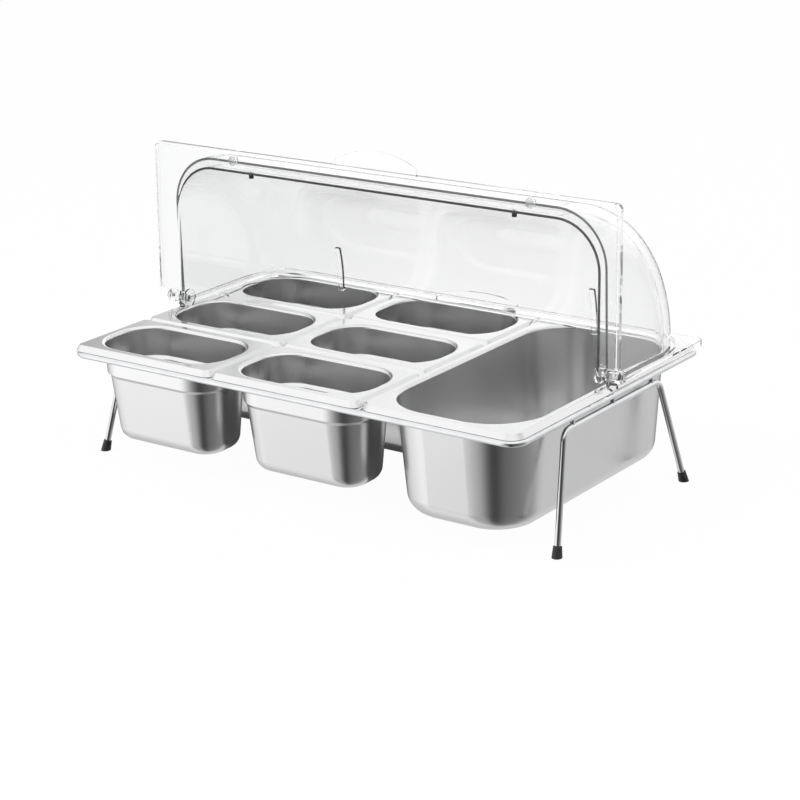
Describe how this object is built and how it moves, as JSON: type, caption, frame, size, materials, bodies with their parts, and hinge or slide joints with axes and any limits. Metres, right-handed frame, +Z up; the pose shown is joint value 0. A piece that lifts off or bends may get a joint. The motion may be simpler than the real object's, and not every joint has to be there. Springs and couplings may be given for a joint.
{
  "type": "gastronorm pan set with flip lid",
  "caption": "Countertop gastronorm pan set on a wire stand, with small steel pans, one long pan and a clear roll-top cover whose front shell flips up.",
  "frame": {"origin": "on the floor, under the centre of the set's bounding box", "axes": "+X along the hinge towards the long pan, +Y towards the fixed shell at the rear, +Z up; the lid opens over the -Y side"},
  "size_m": [0.5602, 0.3473, 0.3208],
  "materials": {
    "chrome_wire": "polished",
    "pan_steel": "satin",
    "clear_cover": "clear",
    "clear_bumper": "clear",
    "black_rubber": "matte"
  },
  "bodies": {
    "stand": {"top_ring": "chrome_wire", "cross_wire_left": "chrome_wire", "cross_wire_right": "chrome_wire", "leg_frame_left": "chrome_wire", "leg_frame_right": "chrome_wire", "weld_pegs_left": "chrome_wire", "weld_pegs_right": "chrome_wire", "foot_front_left": "black_rubber", "foot_front_right": "black_rubber", "foot_rear_left": "black_rubber", "foot_rear_right": "black_rubber"},
    "fixed_shell": {"rear_cover": "clear_cover", "hinge_pin_left": "clear_cover", "hinge_pin_right": "clear_cover", "hinge_cap_left": "clear_cover", "hinge_cap_right": "clear_cover"},
    "flip_lid": {"front_cover": "clear_cover", "lid_pegs": "black_rubber", "lid_bumpers": "clear_bumper"},
    "small_pan_front_left_body": {"small_pan_front_left": "pan_steel"},
    "small_pan_front_centre_body": {"small_pan_front_centre": "pan_steel"},
    "small_pan_middle_left_body": {"small_pan_middle_left": "pan_steel"},
    "small_pan_middle_centre_body": {"small_pan_middle_centre": "pan_steel"},
    "small_pan_rear_left_body": {"small_pan_rear_left": "pan_steel"},
    "small_pan_rear_centre_body": {"small_pan_rear_centre": "pan_steel"},
    "large_pan_body": {"large_pan": "pan_steel"}
  },
  "joints": [
    {"name": "cover_lift", "type": "slide", "parent": "stand", "child": "fixed_shell", "axis": [0, 0, 1], "range_m": [0, 0.36]},
    {"name": "lid_hinge", "type": "hinge", "parent": "fixed_shell", "child": "flip_lid", "pos_m": [0, -0.00906, 0.138], "axis": [1, 0, 0], "range_deg": [0, 92]},
    {"name": "small_pan_front_left_lift", "type": "slide", "parent": "stand", "child": "small_pan_front_left_body", "axis": [0, 0, 1], "range_m": [0, 0.12]},
    {"name": "small_pan_front_centre_lift", "type": "slide", "parent": "stand", "child": "small_pan_front_centre_body", "axis": [0, 0, 1], "range_m": [0, 0.12]},
    {"name": "small_pan_middle_left_lift", "type": "slide", "parent": "stand", "child": "small_pan_middle_left_body", "axis": [0, 0, 1], "range_m": [0, 0.12]},
    {"name": "small_pan_middle_centre_lift", "type": "slide", "parent": "stand", "child": "small_pan_middle_centre_body", "axis": [0, 0, 1], "range_m": [0, 0.12]},
    {"name": "small_pan_rear_left_lift", "type": "slide", "parent": "stand", "child": "small_pan_rear_left_body", "axis": [0, 0, 1], "range_m": [0, 0.12]},
    {"name": "small_pan_rear_centre_lift", "type": "slide", "parent": "stand", "child": "small_pan_rear_centre_body", "axis": [0, 0, 1], "range_m": [0, 0.12]},
    {"name": "large_pan_lift", "type": "slide", "parent": "stand", "child": "large_pan_body", "axis": [0, 0, 1], "range_m": [0, 0.12]}
  ],
  "couplings": [
    {"joint": "small_pan_front_left_lift", "follows": "cover_lift", "ratio": 0.33333},
    {"joint": "small_pan_front_centre_lift", "follows": "cover_lift", "ratio": 0.33333},
    {"joint": "small_pan_middle_left_lift", "follows": "cover_lift", "ratio": 0.33333},
    {"joint": "small_pan_middle_centre_lift", "follows": "cover_lift", "ratio": 0.33333},
    {"joint": "small_pan_rear_left_lift", "follows": "cover_lift", "ratio": 0.33333},
    {"joint": "small_pan_rear_centre_lift", "follows": "cover_lift", "ratio": 0.33333},
    {"joint": "large_pan_lift", "follows": "cover_lift", "ratio": 0.33333}
  ]
}
